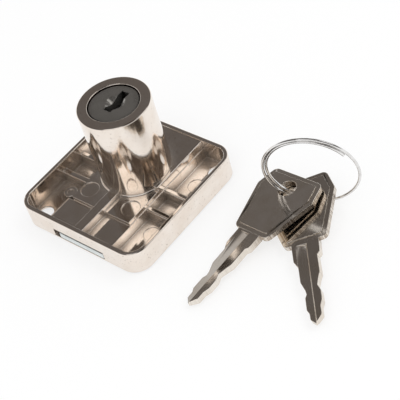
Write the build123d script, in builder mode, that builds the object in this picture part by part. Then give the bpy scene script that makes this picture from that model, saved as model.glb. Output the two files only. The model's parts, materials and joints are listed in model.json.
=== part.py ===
from build123d import *
import math
import os

os.makedirs("parts", exist_ok=True)

# A rim lock for a drawer, with its two keys on a split ring. Millimetres.
# The origin is on the barrel's axis, in the plane of the case's open rim.
# +Z is the way the barrel points, and -Y is the way the bolt comes out.

# Case, a square tray cast in one with the barrel
CASE_SIDE = 41.0
CASE_DEPTH = 7.1
CASE_CORNER = 5.0
CASE_WALL = 1.2
CASE_FLOOR = 1.2
BACKSET = 25.0
RIM_CHAMFER = 0.1
BACK_ROUND = 0.6

# Barrel and its bore
BARREL_DIAMETER = 19.0
BARREL_HEIGHT = 22.0
BARREL_CHAMFER = 0.2
BARREL_SEAT = -0.2
BARREL_DRAFT = 0.1
BARREL_FOOT = 0.5
MOUTH_CHAMFER = 0.12
PLUG_DIAMETER = 13.4
PLUG_FIT = 0.05
PLUG_RECESS = 0.4
WAFER_GROOVE = 0.8

# Screw holes, countersunk from the back
SCREW_SPACING = 32.0
SCREW_HOLE = 4.0
SCREW_SINK = 5.2

# Raised parts of the tray, with heights above the back of the case
BLOCK_LEFT = 9.4
BLOCK_RIGHT = 10.2
BLOCK_LEDGE = 0.2
BLOCK_STEP = 9.5
BLOCK_HEIGHT = 5.6
ROOF_LEFT = 11.8
ROOF_ROUND = 1.2
PLATEAU_HEIGHT = 6.8
PLATEAU_START = 3.5
RIDGE_WIDTH = 2.8
RIDGE_SHIFT = 0.6
RIB_HEIGHT = 4.15
RIB_ROUND = 0.5
RIB_WIDTH = 1.7
RIB_PLACES = (-8.3, -1.2)
PEG_DIAMETER = 3.6
PEG_DIMPLE = 1.8
PEG_GAP = 1.2
PEG_BACK = 2.0

# Round marks that the ejector pins leave
MARK_DEPTH = 0.15
BLOCK_MARK_DEPTH = 0.3
BLOCK_MARK = 5.0
BLOCK_MARK_X = 7.4
BLOCK_MARK_Y = -11.3
BAY_MARK = 4.4
BAY_MARK_X = 14.4
BAY_MARK_YS = (-13.0, 5.2)

# Bolt and its channel
BOLT_WIDTH = 15.3
BOLT_THICKNESS = 2.0
BOLT_TAIL = 8.5
BOLT_SHIFT = 1.05
BOLT_THROW = 8.0
BOLT_EDGE = 0.2
BOLT_FIT = 0.05
BOLT_HEADROOM = 0.23
CHANNEL_FLOOR = 0.87
CHANNEL_ROOF = 1.25
CHANNEL_END = 0.5
MOUTH_EXTRA = 2.0
MOUTH_DEPTH = 2.5

# Drive from the plug to the bolt: a half turn moves the pin by twice its radius
PIN_DIAMETER = 3.0
PIN_RADIUS = BOLT_THROW / 2
PIN_PLAY = 0.9
PIN_END_GAP = 0.13
TAIL_DIAMETER = 11.2
TAIL_GAP = 0.18
SHOULDER_GAP = 0.05

# Keyway, a slot along Y that lies a little to the back of the plug's middle
KEYWAY_SHIFT = 1.0
KEYWAY_PLAY = 0.15
KEYWAY_END = 0.3
KEYWAY_EYE = 5.2
KEYWAY_EYE_DEPTH = 0.9
KEYWAY_EYE_SHIFT = 0.5
PLUG_EDGE = 0.3

# Wafers, one under the other down the plug, sprung to alternate sides
WAFER_COUNT = 8
FIRST_WAFER = 5.9
WAFER_THICKNESS = 1.2
WAFER_WIDTH = 6.4
WAFER_FIT = 0.05
WAFER_TRAVEL = 0.7
WINDOW_PLAY = 0.15
EAR_WIDTH = 1.35
EAR_HEIGHT = 1.0
EAR_START = -0.2
SPRING_DIAMETER = 1.1
SPRING_BORE = 0.6
SPRING_LENGTH = 3.7
SPRING_END_GAP = 0.03
RETAINER_OUT = 0.65
RETAINER_DROP = 1.9
RETAINER_RISE = 1.45

# Keys
KEY_THICKNESS = 2.0
HEAD_BASE = 10.8
HEAD_WIDTH = 18.6
HEAD_TOP = 15.6
HEAD_WIDEST = 13.5
HEAD_LENGTH = 19.3
HEAD_ROUND = 1.6
HEAD_BORDER = 1.2
PANEL_RISE = 0.12
RING_HOLE = 4.8
RING_HOLE_PLACE = 14.7
BLADE_WIDTH = 7.0
BLADE_LENGTH = 23.2
BLADE_TIP = -0.1
GROOVE_LEFT = 2.5
GROOVE_RIGHT = 0.35
GROOVE_WALL = 0.3
GROOVE_DEPTH = 0.6
GROOVE_START = 0.7

# Cuts down each edge of the blade: distance from the head, half width left there
CUTS_RIGHT = [(4.1, 3.35), (4.9, 2.65), (9.9, 2.7), (11.3, 2.2), (13.3, 1.65), (15.0, 2.3),
              (17.6, 2.3), (19.2, 1.75), (21.4, 1.75), (22.8, 0.6)]
CUTS_LEFT = [(5.1, 3.4), (6.2, 2.85), (6.9, 2.45), (11.4, 2.4), (13.8, 1.55), (14.9, 1.4),
             (15.9, 1.8), (19.3, 1.8), (20.3, 1.3), (22.0, 1.25)]

# Split ring, standing on its edge through both keys
RING_WIRE = 0.75
RING_RADIUS = 11.31
RING_PITCH = 1.16
RING_PLACE = (46.38, 13.67, 6.52)
RING_AZIMUTH = 115.3
RING_LEAN = 5.4
RING_START = 140.0

# Where the keys lie on the ring: from its middle to the middle of the head's base,
# and turns about X, Y and Z
KEY_1_OFFSET = (-7.91, -16.60, -8.85)
KEY_1_TURNS = (5.6, -10.2, -4.7)
KEY_2_OFFSET = (5.13, -12.32, -9.88)
KEY_2_TURNS = (11.3, -9.2, 41.0)

# Heights and places that follow from the sizes above
BACK_Z = -CASE_DEPTH
FLOOR_Z = BACK_Z + CASE_FLOOR
CASE_Y = CASE_SIDE / 2 - BACKSET
INNER_SIDE = CASE_SIDE - 2 * CASE_WALL
CHANNEL_Z = BACK_Z + CHANNEL_FLOOR
CHANNEL_HEIGHT = BOLT_FIT + BOLT_THICKNESS + BOLT_HEADROOM
CHANNEL_TOP = CHANNEL_Z + CHANNEL_HEIGHT
SHOULDER_Z = CHANNEL_TOP + CHANNEL_ROOF - SHOULDER_GAP
BORE_RADIUS = PLUG_DIAMETER / 2 + PLUG_FIT
GROOVE_RADIUS = BORE_RADIUS + WAFER_GROOVE
BOLT_Z = CHANNEL_Z + BOLT_FIT
BOLT_TOP = BOLT_Z + BOLT_THICKNESS
PLUG_FACE = BARREL_HEIGHT - PLUG_RECESS
PLUG_FOOT = SHOULDER_Z + SHOULDER_GAP
TAIL_FOOT = BOLT_TOP + TAIL_GAP
WAFER_SLOT = WAFER_THICKNESS + 2 * WAFER_FIT
WAFER_RADIUS = PLUG_DIAMETER / 2 - WAFER_FIT
RETAINER_Z = PLUG_FOOT + RETAINER_RISE
LAST_WAFER = PLUG_FACE - RETAINER_Z - RETAINER_DROP
WAFER_PITCH = (LAST_WAFER - FIRST_WAFER) / (WAFER_COUNT - 1)
KEYWAY_DEPTH = PLUG_FACE - PLUG_FOOT - KEYWAY_END
KEYWAY_ACROSS = BLADE_WIDTH + 2 * KEYWAY_PLAY
KEYWAY_THICK = KEY_THICKNESS + 2 * KEYWAY_PLAY


def turned(height, half_turn=False):
    """Plane across the barrel, as it is or turned half round, for wafers of either side."""
    return Plane(Location((0, 0, height), (0, 0, 180 if half_turn else 0)))


def half_width(cuts, along):
    """Half width of the blade on one edge, at a distance from the head."""
    points = [(0, BLADE_WIDTH / 2)] + cuts + [(BLADE_LENGTH, abs(BLADE_TIP))]
    for (start, first), (end, last) in zip(points, points[1:]):
        if along <= end:
            return first + (last - first) * (along - start) / (end - start)
    return abs(BLADE_TIP)


def save(piece, label):
    piece.part.label = label
    export_step(piece.part, f"parts/{label}.step")


# Hollow curve round the barrel's foot, no wider than the block under it
with BuildPart() as foot_curve:
    foot_z = BACK_Z + BLOCK_HEIGHT
    foot_top = foot_z + BARREL_FOOT
    wall_x = BARREL_DIAMETER / 2
    with BuildSketch(Plane.XZ):
        with BuildLine():
            foot = Polyline((wall_x, foot_top), (0, foot_top), (0, foot_z), (wall_x + BARREL_FOOT, foot_z))
            RadiusArc(foot @ 1, foot @ 0, BARREL_FOOT)
        make_face()
    revolve(axis=Axis.Z)
    with BuildSketch(Plane.XY.offset(foot_z)):
        with Locations((-BLOCK_LEFT, BLOCK_STEP - BACKSET)):
            Rectangle(BLOCK_LEFT + BLOCK_RIGHT, CASE_SIDE, align=Align.MIN)
    extrude(amount=BARREL_FOOT, mode=Mode.INTERSECT)


# Housing: tray, bolt channel and barrel in one casting
with BuildPart() as housing:
    with BuildSketch(Plane.XY.offset(BACK_Z)):
        with Locations((0, CASE_Y)):
            RectangleRounded(CASE_SIDE, CASE_SIDE, CASE_CORNER)
    extrude(amount=CASE_DEPTH)
    fillet(housing.faces().sort_by(Axis.Z)[0].edges(), BACK_ROUND)
    with BuildSketch(Plane.XY.offset(FLOOR_Z)):
        with Locations((0, CASE_Y)):
            RectangleRounded(INNER_SIDE, INNER_SIDE, CASE_CORNER - CASE_WALL)
    extrude(amount=CASE_DEPTH, mode=Mode.SUBTRACT)
    chamfer(housing.faces().sort_by(Axis.Z)[-1].edges(), RIM_CHAMFER)

    # Ribs that cross the tray, with rounded tops
    with BuildSketch(Plane.YZ.offset(-INNER_SIDE / 2 - CASE_WALL / 2)) as rib_ends:
        for rib_y in RIB_PLACES:
            with Locations((rib_y, FLOOR_Z)):
                Rectangle(RIB_WIDTH, BACK_Z + RIB_HEIGHT - FLOOR_Z, align=(Align.CENTER, Align.MIN))
        fillet(rib_ends.vertices().group_by(Axis.Y)[-1], RIB_ROUND)
    extrude(amount=INNER_SIDE + CASE_WALL)

    # Roof of the bolt channel, wider and rounded on the left in front of the block
    inner_front = CASE_Y - INNER_SIDE / 2
    inner_back = CASE_Y + INNER_SIDE / 2
    block_front = BLOCK_STEP - BACKSET
    roof_top = CHANNEL_TOP + CHANNEL_ROOF
    with BuildSketch(Plane.XZ.offset(-inner_front)) as roof_end:
        with Locations((-ROOF_LEFT, FLOOR_Z)):
            Rectangle(ROOF_LEFT + BLOCK_RIGHT + BLOCK_LEDGE, roof_top - FLOOR_Z, align=Align.MIN)
        fillet(roof_end.vertices().group_by(Axis.X)[0].sort_by(Axis.Y)[-1], ROOF_ROUND)
    extrude(amount=inner_front - block_front)

    # Ledge beside the block, the block itself, the plateau behind the barrel, and the ridge before it
    steps = [
        (-BLOCK_LEFT, BLOCK_RIGHT + BLOCK_LEDGE, block_front, inner_back, roof_top),
        (-BLOCK_LEFT, BLOCK_RIGHT, block_front, 0, BACK_Z + BLOCK_HEIGHT),
        (-BLOCK_LEFT, BLOCK_RIGHT, -PLATEAU_START, inner_back, BACK_Z + PLATEAU_HEIGHT),
        (RIDGE_SHIFT - RIDGE_WIDTH / 2, RIDGE_SHIFT + RIDGE_WIDTH / 2, inner_front, 0,
         BACK_Z + PLATEAU_HEIGHT),
    ]
    for left, right, front, back, top in steps:
        with BuildSketch(Plane.XY.offset(FLOOR_Z)):
            with Locations((left, front)):
                Rectangle(right - left, back - front, align=Align.MIN)
        extrude(amount=top - FLOOR_Z)

    # Peg beside the block
    peg_place = (-BLOCK_LEFT - PEG_GAP - PEG_DIAMETER / 2, block_front + PEG_BACK)
    with BuildSketch(Plane.XY.offset(FLOOR_Z)):
        with Locations(peg_place):
            Circle(PEG_DIAMETER / 2)
            Rectangle(PEG_DIAMETER / 2 + 2 * PEG_GAP, PEG_DIAMETER / 2, align=(Align.MIN, Align.CENTER))
    extrude(amount=BACK_Z + RIB_HEIGHT - FLOOR_Z)
    with BuildSketch(Plane.XY.offset(BACK_Z + RIB_HEIGHT)):
        with Locations(peg_place):
            Circle(PEG_DIMPLE / 2)
    extrude(amount=-2 * MARK_DEPTH, mode=Mode.SUBTRACT)

    # Ejector marks in the block and the bays
    with BuildSketch(Plane.XY.offset(BACK_Z + BLOCK_HEIGHT)):
        with Locations((BLOCK_MARK_X, BLOCK_MARK_Y), (-BLOCK_MARK_X + RIDGE_SHIFT, BLOCK_MARK_Y)):
            Circle(BLOCK_MARK / 2)
    extrude(amount=-BLOCK_MARK_DEPTH, mode=Mode.SUBTRACT)
    with BuildSketch(Plane.XY.offset(FLOOR_Z)):
        for mark_y in BAY_MARK_YS:
            with Locations((BAY_MARK_X, mark_y), (-BAY_MARK_X, mark_y)):
                Circle(BAY_MARK / 2)
    extrude(amount=-MARK_DEPTH, mode=Mode.SUBTRACT)

    # Barrel, true to size down to just under the rim, on a cast foot with a slight draft
    with Locations((0, 0, FLOOR_Z)):
        Cone(BARREL_DIAMETER / 2 + BARREL_DRAFT, BARREL_DIAMETER / 2, BARREL_SEAT - FLOOR_Z,
             align=(Align.CENTER, Align.CENTER, Align.MIN))
    with BuildSketch(Plane.XY.offset(BARREL_SEAT)):
        Circle(BARREL_DIAMETER / 2)
    extrude(amount=BARREL_HEIGHT - BARREL_SEAT)
    chamfer(housing.faces().sort_by(Axis.Z)[-1].edges(), BARREL_CHAMFER)
    add(foot_curve.part)

    # Bore with the plug's shoulder, and the hole for its tail
    with BuildSketch(Plane.XY.offset(BARREL_HEIGHT)):
        Circle(BORE_RADIUS)
    extrude(amount=SHOULDER_Z - BARREL_HEIGHT, mode=Mode.SUBTRACT)
    chamfer(housing.faces().sort_by(Axis.Z)[-1].edges().sort_by(SortBy.LENGTH)[0], MOUTH_CHAMFER)
    with BuildSketch(Plane.XY.offset(CHANNEL_TOP)):
        Circle(TAIL_DIAMETER / 2 + PLUG_FIT)
    extrude(amount=SHOULDER_Z - CHANNEL_TOP, mode=Mode.SUBTRACT)

    # Two grooves that the wafers spring into, and the ring groove for the retainer
    groove_low = PLUG_FACE - LAST_WAFER - WAFER_SLOT / 2 - WAFER_FIT
    groove_high = PLUG_FACE - FIRST_WAFER + WAFER_SLOT / 2 + WAFER_FIT
    with BuildSketch(turned(groove_low)):
        Circle(GROOVE_RADIUS)
        Rectangle(WAFER_WIDTH + 4 * WAFER_FIT, 2 * GROOVE_RADIUS, mode=Mode.INTERSECT)
    extrude(amount=groove_high - groove_low, mode=Mode.SUBTRACT)
    with BuildSketch(Plane.XY.offset(RETAINER_Z - WAFER_SLOT / 2 - WAFER_FIT)):
        Circle(GROOVE_RADIUS)
    extrude(amount=WAFER_SLOT + 2 * WAFER_FIT, mode=Mode.SUBTRACT)

    # Bolt channel, wider to one side at its mouth
    channel_width = BOLT_WIDTH + 2 * BOLT_FIT
    with BuildSketch(Plane.XY.offset(CHANNEL_Z)):
        with Locations((BOLT_SHIFT, -BACKSET)):
            Rectangle(channel_width, BACKSET + BOLT_TAIL + CHANNEL_END, align=(Align.CENTER, Align.MIN))
        with Locations((BOLT_SHIFT - channel_width / 2 - MOUTH_EXTRA, -BACKSET)):
            Rectangle(channel_width, MOUTH_DEPTH, align=Align.MIN)
    extrude(amount=CHANNEL_HEIGHT, mode=Mode.SUBTRACT)

    # Screw holes in the four corners
    with Locations(Plane.XY.rotated((180, 0, 0)).offset(CASE_DEPTH)):
        with Locations((0, -CASE_Y)):
            with GridLocations(SCREW_SPACING, SCREW_SPACING, 2, 2):
                CounterSinkHole(SCREW_HOLE / 2, SCREW_SINK / 2, depth=2 * CASE_FLOOR)

save(housing, "housing")


# Bolt: a flat plate with a cross slot for the drive pin
with BuildPart() as bolt:
    with BuildSketch(Plane.XY.offset(BOLT_Z)):
        with Locations((BOLT_SHIFT, -BACKSET)):
            Rectangle(BOLT_WIDTH, BACKSET + BOLT_TAIL, align=(Align.CENTER, Align.MIN))
    extrude(amount=BOLT_THICKNESS)
    chamfer(bolt.faces().sort_by(Axis.Y)[0].edges(), BOLT_EDGE)
    slot_across = PIN_DIAMETER + 2 * PIN_PLAY
    slot_along = 2 * PIN_RADIUS + PIN_DIAMETER + 2 * BOLT_EDGE
    with BuildSketch(Plane.XY.offset(BOLT_Z)):
        with Locations((0, PIN_RADIUS)):
            RectangleRounded(slot_along, slot_across, PIN_DIAMETER / 3)
    extrude(amount=BOLT_THICKNESS, mode=Mode.SUBTRACT)

save(bolt, "bolt")


def wafer_height(number):
    return PLUG_FACE - FIRST_WAFER - number * WAFER_PITCH


def spring_bottom():
    return EAR_START - SPRING_END_GAP - SPRING_LENGTH


# Plug: the turning cylinder, with its tail and drive pin
with BuildPart() as plug:
    with BuildSketch(Plane.XY.offset(PLUG_FOOT)):
        Circle(PLUG_DIAMETER / 2)
    extrude(amount=PLUG_FACE - PLUG_FOOT)
    chamfer(plug.faces().sort_by(Axis.Z)[-1].edges(), PLUG_EDGE)
    with BuildSketch(Plane.XY.offset(TAIL_FOOT)):
        Circle(TAIL_DIAMETER / 2)
    extrude(amount=PLUG_FOOT - TAIL_FOOT)
    with BuildSketch(Plane.XY.offset(CHANNEL_Z + PIN_END_GAP)):
        with Locations((0, PIN_RADIUS)):
            Circle(PIN_DIAMETER / 2)
    extrude(amount=TAIL_FOOT - CHANNEL_Z - PIN_END_GAP)
    with BuildSketch(Plane.XY.offset(PLUG_FACE)):
        with Locations((0, KEYWAY_SHIFT)):
            Rectangle(KEYWAY_THICK, KEYWAY_ACROSS)
    extrude(amount=-KEYWAY_DEPTH, mode=Mode.SUBTRACT)
    with Locations((0, KEYWAY_EYE_SHIFT, PLUG_FACE)):
        Cone(KEYWAY_THICK / 2, KEYWAY_EYE / 2, KEYWAY_EYE_DEPTH,
             align=(Align.CENTER, Align.CENTER, Align.MAX), mode=Mode.SUBTRACT)

    # A slot through the plug for each wafer, with a pocket for its ear and spring
    slots = [(wafer_height(number), number % 2 == 1) for number in range(WAFER_COUNT)]
    slots.append((RETAINER_Z, False))
    pocket_height = EAR_START + EAR_HEIGHT + WAFER_TRAVEL + WAFER_FIT - spring_bottom()
    for height, other_side in slots:
        with BuildSketch(turned(height - WAFER_SLOT / 2, other_side)):
            Rectangle(WAFER_WIDTH + 2 * WAFER_FIT, 2 * GROOVE_RADIUS)
            with Locations((0, spring_bottom())):
                Rectangle(WAFER_WIDTH / 2 + EAR_WIDTH + WAFER_FIT, pocket_height, align=Align.MIN)
        extrude(amount=WAFER_SLOT, mode=Mode.SUBTRACT)

save(plug, "plug")


def make_wafer(label, height, other_side, window_low, window_high, out=0.0):
    """A brass wafer: a slice as wide as its slot, with a window for the key and an ear."""
    shift = -KEYWAY_SHIFT if other_side else KEYWAY_SHIFT
    with BuildPart() as wafer:
        with BuildSketch(turned(height - WAFER_THICKNESS / 2, other_side)):
            with Locations((0, out)):
                Circle(WAFER_RADIUS)
                Rectangle(WAFER_WIDTH, 2 * WAFER_RADIUS, mode=Mode.INTERSECT)
            with Locations((0, EAR_START + out)):
                Rectangle(WAFER_WIDTH / 2 + EAR_WIDTH, EAR_HEIGHT, align=Align.MIN)
            with Locations((0, window_low + shift)):
                Rectangle(KEY_THICKNESS + 2 * WINDOW_PLAY, window_high - window_low,
                          align=(Align.CENTER, Align.MIN), mode=Mode.SUBTRACT)
        extrude(amount=WAFER_THICKNESS)
    save(wafer, label)


def make_spring(label, height, other_side):
    """The space that one wafer's tiny coil spring fills, as a tube."""
    seat = turned(height, other_side)
    middle = seat.from_local_coords(Vector(WAFER_WIDTH / 2 + EAR_WIDTH / 2, spring_bottom(), 0))
    with BuildPart() as spring:
        with BuildSketch(Plane(middle, x_dir=(0, 0, 1), z_dir=seat.y_dir)):
            Circle(SPRING_DIAMETER / 2)
            Circle(SPRING_BORE / 2, mode=Mode.SUBTRACT)
        extrude(amount=SPRING_LENGTH)
    save(spring, label)


for number in range(WAFER_COUNT):
    height = wafer_height(number)
    other_side = number % 2 == 1
    edge = half_width(CUTS_RIGHT if other_side else CUTS_LEFT, FIRST_WAFER + number * WAFER_PITCH)
    make_wafer(f"wafer_{number + 1}", height, other_side, -edge - WAFER_FIT, KEYWAY_ACROSS / 2)
    make_spring(f"wafer_spring_{number + 1}", height, other_side)

make_wafer("retaining_wafer", RETAINER_Z, False, -KEYWAY_ACROSS / 2, KEYWAY_ACROSS / 2, RETAINER_OUT)
make_spring("retaining_spring", RETAINER_Z, False)


def make_key(label, place, turns):
    """A flat key: coffin-shaped head with a raised panel, and a blade cut down both edges."""
    face = Plane(Location(place, turns))
    back = face.offset(-KEY_THICKNESS)
    head_edge = [(HEAD_BASE / 2, 0), (HEAD_WIDTH / 2, HEAD_WIDEST), (HEAD_TOP / 2, HEAD_LENGTH)]
    head_edge += [(-across, along) for across, along in reversed(head_edge)]
    blade_edge = [(BLADE_WIDTH / 2, HEAD_BORDER), (BLADE_WIDTH / 2, 0)]
    blade_edge += [(half, -along) for along, half in CUTS_RIGHT]
    blade_edge += [(BLADE_TIP, -BLADE_LENGTH)]
    blade_edge += [(-half, -along) for along, half in reversed(CUTS_LEFT)]
    blade_edge += [(-BLADE_WIDTH / 2, 0), (-BLADE_WIDTH / 2, HEAD_BORDER)]
    with BuildPart() as key:
        with BuildSketch(face) as outline:
            with BuildLine():
                Polyline(*head_edge, close=True)
            make_face()
            fillet(outline.vertices(), HEAD_ROUND)
            with BuildLine():
                Polyline(*blade_edge, close=True)
            make_face()
            with Locations((0, RING_HOLE_PLACE)):
                Circle(RING_HOLE / 2, mode=Mode.SUBTRACT)
        extrude(amount=-KEY_THICKNESS)
        for side, depth in ((face, -PANEL_RISE), (back, PANEL_RISE)):
            with BuildSketch(side) as border:
                with BuildLine():
                    Polyline(*head_edge, close=True)
                make_face()
                fillet(border.vertices(), HEAD_ROUND)
                offset(amount=-HEAD_BORDER, mode=Mode.SUBTRACT)
            extrude(amount=depth, mode=Mode.SUBTRACT)
        groove_bottom = GROOVE_RIGHT - GROOVE_WALL
        for side, across in ((face, face.x_dir), (back, -face.x_dir)):
            groove_end = side.from_local_coords(Vector(0, -GROOVE_START, 0))
            with BuildSketch(Plane(groove_end, x_dir=across, z_dir=-face.y_dir)):
                with BuildLine():
                    Polyline((-GROOVE_LEFT, 0), (groove_bottom, -GROOVE_DEPTH), (GROOVE_RIGHT, 0),
                             (GROOVE_RIGHT, GROOVE_DEPTH), (-GROOVE_LEFT, GROOVE_DEPTH), close=True)
                make_face()
            extrude(amount=BLADE_LENGTH, mode=Mode.SUBTRACT)
    save(key, label)


make_key("key_1", Vector(RING_PLACE) + KEY_1_OFFSET, KEY_1_TURNS)
make_key("key_2", Vector(RING_PLACE) + KEY_2_OFFSET, KEY_2_TURNS)


def biarc(start, start_way, end, end_way):
    """Two arcs between two points, tangent to a direction at each."""
    across = end - start
    ways = start_way + end_way
    square = ways.dot(ways) - 4
    linear = -2 * across.dot(ways)
    reach = (-linear - math.sqrt(linear ** 2 - 4 * square * across.dot(across))) / (2 * square)
    first_corner = start + start_way * reach
    last_corner = end - end_way * reach
    middle = (first_corner + last_corner) * 0.5
    TangentArc(start, middle, tangent=start_way)
    TangentArc(middle, end, tangent=(last_corner - first_corner).normalized())


# Split ring: two flat turns side by side, and a quarter turn where the wire crosses over
ring_normal = Vector(1, 0, 0).rotate(Axis.Y, -RING_LEAN).rotate(Axis.Z, RING_AZIMUTH)
ring_plane = Plane(RING_PLACE, x_dir=Vector(0, 0, 1).cross(ring_normal), z_dir=ring_normal)
quarter_sides = [-1, -1, -1, -1, 1, 1, 1, 1]


def ring_point(quarter, side):
    """Point and direction on the wire's centre line after some quarter turns."""
    angle = math.radians(RING_START + 90 * quarter)
    local = Vector(RING_RADIUS * math.cos(angle), RING_RADIUS * math.sin(angle), side * RING_PITCH / 2)
    way = ring_plane.y_dir * math.cos(angle) - ring_plane.x_dir * math.sin(angle)
    return ring_plane.from_local_coords(local), way


with BuildPart() as split_ring:
    with BuildLine() as wire_line:
        for quarter, (side, next_side) in enumerate(zip(quarter_sides, quarter_sides[1:])):
            start, start_way = ring_point(quarter, side)
            end, end_way = ring_point(quarter + 1, next_side)
            biarc(start, start_way, end, end_way)
    wire_start, wire_way = ring_point(0, quarter_sides[0])
    with BuildSketch(Plane(wire_start, z_dir=wire_way)):
        Circle(RING_WIRE / 2)
    sweep(path=wire_line.line)

save(split_ring, "split_ring")

# Least gap between the ring's two turns, measured on points half a turn or more apart
count = 300
wire_points = [wire_line.line @ (index / count) for index in range(count + 1)]
half_turn = round(count * 2 / (len(quarter_sides) - 1))
gap = min((wire_points[i] - wire_points[j]).length
          for i in range(count + 1) for j in range(i + half_turn, count + 1)) - RING_WIRE
print(f"split ring: {(len(quarter_sides) - 1) / 4} turns, least gap to itself {gap:.2f} mm")
wire_length = sum(arc.length for arc in wire_line.edges())
print(f"split ring: wire length {wire_length:.1f} mm")
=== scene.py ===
# %% [markdown]
# A drawer rim lock with its two keys
#
# The object is a bright nickel-plated zinc casting: a shallow square tray with a round barrel
# standing in it. A dark plug turns in the barrel, and a flat bolt slides out of the tray's wall.
# Two flat keys lie beside it on a split ring. The solids, their places and their joints come from
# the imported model. This script gives them their finish, and makes new the few pieces that need a
# finer form than the solids have: softened edges, the ring's touching turns and the coil springs.

import json
import math

import bmesh
import bpy
from mathutils import Matrix, Quaternion, Vector
from mathutils.geometry import intersect_point_line

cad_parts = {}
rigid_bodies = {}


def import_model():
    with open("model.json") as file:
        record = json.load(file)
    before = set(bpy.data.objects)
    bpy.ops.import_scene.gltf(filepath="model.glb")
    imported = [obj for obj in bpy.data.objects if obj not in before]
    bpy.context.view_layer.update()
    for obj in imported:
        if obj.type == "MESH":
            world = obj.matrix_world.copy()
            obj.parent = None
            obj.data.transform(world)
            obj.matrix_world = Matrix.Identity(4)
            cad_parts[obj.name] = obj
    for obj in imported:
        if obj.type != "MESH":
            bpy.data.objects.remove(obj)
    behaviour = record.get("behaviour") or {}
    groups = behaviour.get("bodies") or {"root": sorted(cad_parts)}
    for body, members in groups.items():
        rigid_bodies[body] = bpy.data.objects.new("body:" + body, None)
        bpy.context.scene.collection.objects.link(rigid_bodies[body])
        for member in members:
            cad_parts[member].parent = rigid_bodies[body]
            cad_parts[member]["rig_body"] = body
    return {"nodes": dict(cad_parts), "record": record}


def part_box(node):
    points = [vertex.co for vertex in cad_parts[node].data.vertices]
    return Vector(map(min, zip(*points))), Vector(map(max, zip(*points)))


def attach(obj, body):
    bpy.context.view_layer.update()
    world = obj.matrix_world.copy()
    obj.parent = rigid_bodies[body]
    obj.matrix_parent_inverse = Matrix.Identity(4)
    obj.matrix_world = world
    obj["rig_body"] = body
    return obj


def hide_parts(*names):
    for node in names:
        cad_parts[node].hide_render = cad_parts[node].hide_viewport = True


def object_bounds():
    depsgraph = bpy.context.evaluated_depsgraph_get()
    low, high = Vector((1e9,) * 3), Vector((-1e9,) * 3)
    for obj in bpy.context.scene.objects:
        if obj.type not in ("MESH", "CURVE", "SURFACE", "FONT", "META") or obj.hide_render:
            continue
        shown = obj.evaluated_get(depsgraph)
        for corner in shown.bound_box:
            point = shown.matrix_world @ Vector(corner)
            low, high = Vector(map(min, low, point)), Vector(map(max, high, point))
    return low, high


MM = 0.001

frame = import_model()
cad_low, cad_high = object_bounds()

# %% [markdown]
# Camera
#
# The photograph was taken from in front and to the right, 45 degrees above the table, with the
# camera tilted a little about its own axis. Those angles, the distance and the lens were found by
# fitting a pinhole camera to the corners of the case and the ends of the barrel.

# %% Place the camera
CAMERA_PLACE = (180.58, -130.15, 205.78)
CAMERA_AZIMUTH = 50.87
CAMERA_ELEVATION = 45.36
CAMERA_ROLL = -17.51
CAMERA_LENS = 106.08
NEAREST_SEEN = 0.01
FARTHEST_SEEN = 20

azimuth = math.radians(CAMERA_AZIMUTH)
elevation = math.radians(CAMERA_ELEVATION)
looking = Vector((-math.sin(azimuth) * math.cos(elevation), math.cos(azimuth) * math.cos(elevation),
                  -math.sin(elevation)))
camera = bpy.data.objects.new("camera", bpy.data.cameras.new("camera"))
camera.data.lens = CAMERA_LENS
camera.data.clip_start = NEAREST_SEEN
camera.data.clip_end = FARTHEST_SEEN
camera.location = Vector(CAMERA_PLACE) * MM
camera.rotation_mode = "QUATERNION"
roll = Quaternion((0, 0, 1), math.radians(CAMERA_ROLL))
camera.rotation_quaternion = looking.to_track_quat("-Z", "Y") @ roll
bpy.context.scene.collection.objects.link(camera)
bpy.context.scene.camera = camera
bpy.context.scene.view_settings.view_transform = "Standard"
print("camera right:", [round(c, 4) for c in camera.rotation_quaternion @ Vector((1, 0, 0))])

# %% [markdown]
# Shader and geometry nodes
#
# Every finish, the studio's light and the wound pieces are built from nodes, so one small
# function adds a node, sets its values and makes its links. A value that is a socket of another
# node becomes a link. A Mix node has sockets for several kinds of value that share their names,
# so its sockets are reached by number.

# %% A function that adds a node
FIRST_NUMBER, SECOND_NUMBER, MIXED_NUMBER = 2, 3, 0
FIRST_COLOUR, SECOND_COLOUR, MIXED_COLOUR = 6, 7, 2


def add_node(tree, kind, inputs=None, **settings):
    """Adds a node. Inputs are given by name or number, as values or as sockets to link."""
    node = tree.nodes.new(kind)
    for name, value in settings.items():
        setattr(node, name, value)
    for name, value in (inputs or {}).items():
        if isinstance(value, bpy.types.NodeSocket):
            tree.links.new(value, node.inputs[name])
        else:
            node.inputs[name].default_value = value
    return node


# %% [markdown]
# Colours
#
# A listed colour is an sRGB code, as on a web page, but a shader counts light, which is
# linear. One function turns the first into the second, so that all the codes stay readable.

# %% A function for colours
WHITE = (1, 1, 1, 1)


def from_srgb(code):
    """A colour written as sRGB hex, such as EDE3DA, in the linear values that shaders take."""
    steps = [int(code[i:i + 2], 16) / 255 for i in (0, 2, 4)]
    linear = [s / 12.92 if s <= 0.04045 else ((s + 0.055) / 1.055) ** 2.4 for s in steps]
    return (*linear, 1.0)


print("the middle grey 808080 gives", round(from_srgb("808080")[0], 3), "of the light that white gives")

# %% [markdown]
# The room
#
# Polished nickel has hardly any colour of its own: what it shows is the room. In the photograph
# the walls of the case show the white table, while everything that faces up shows the dark far
# side of the room. So the world is white low down and dark brown-grey high up, a little uneven as
# a real room is, darker right overhead, and darkest in front of the lock. A photograph of a room
# could be wrapped round the scene instead, but a few nodes say the same and stay easy to change.

# %% Paint the uneven walls
ROOM_LIGHT = "6A6664"
ROOM_DARK = "544F4C"
ROOM_PATCH = 2.2
PATCH_EDGE, PATCH_FULL = 0.38, 0.62

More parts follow.
